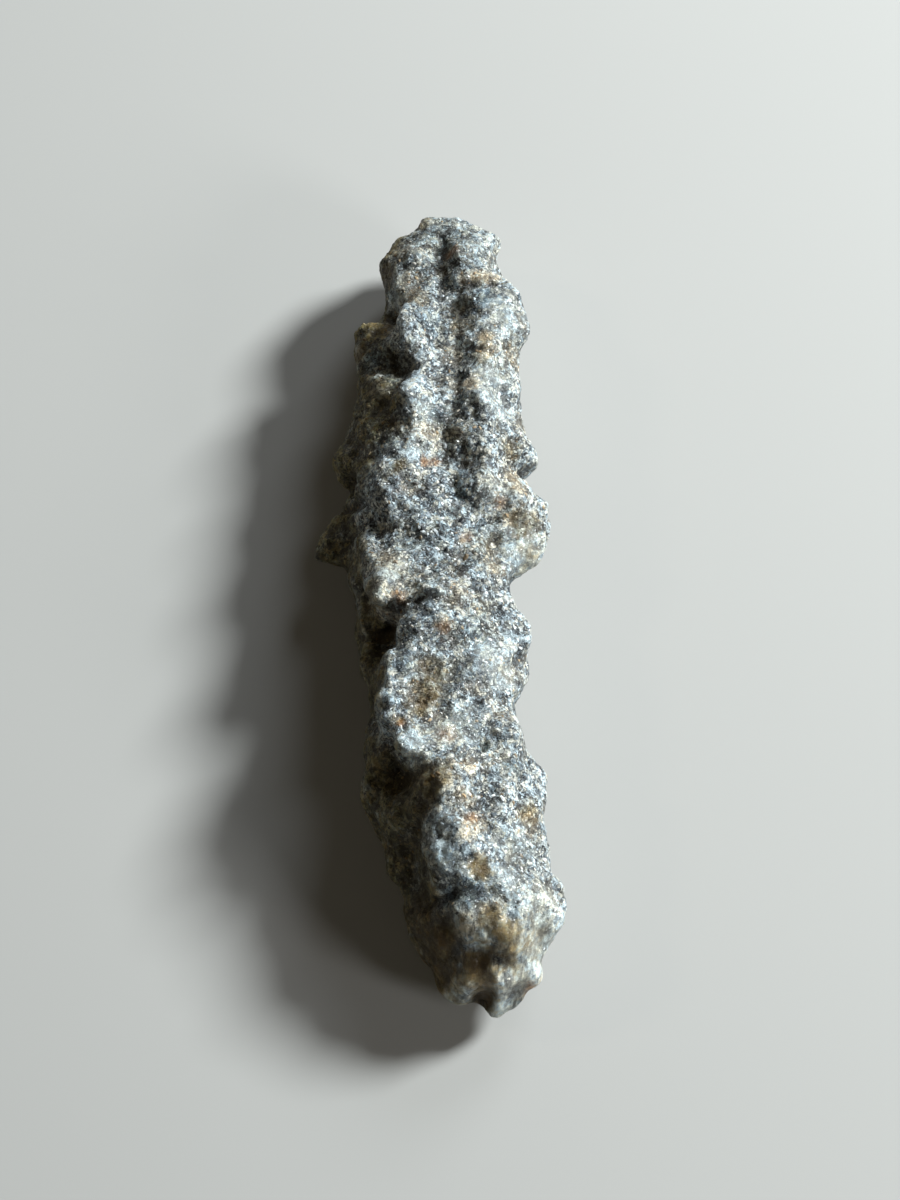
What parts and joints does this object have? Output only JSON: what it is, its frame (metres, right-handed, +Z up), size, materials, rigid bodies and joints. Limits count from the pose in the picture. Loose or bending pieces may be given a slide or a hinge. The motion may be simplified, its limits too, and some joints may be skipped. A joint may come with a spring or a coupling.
{
  "type": "fulgurite",
  "caption": "Rough finned stick of desert sand fused by lightning, solid, rounded at one end and broken to blunt points at the other, lying on its worn underside.",
  "frame": {"origin": "under the middle of the bounding box, level with the worn patches it lies on", "axes": "+Z up from the surface it lies on, +Y along the stick from the broken near end to the rounded far end, +X to the right of that"},
  "size_m": [0.0192, 0.064, 0.0122],
  "materials": {
    "fused_sand": "opaque sintered quartz sand with glassy grains, grey to blue-grey with tan and rust stains"
  },
  "bodies": {
    "root": {"fulgurite": "fused_sand"}
  },
  "joints": []
}
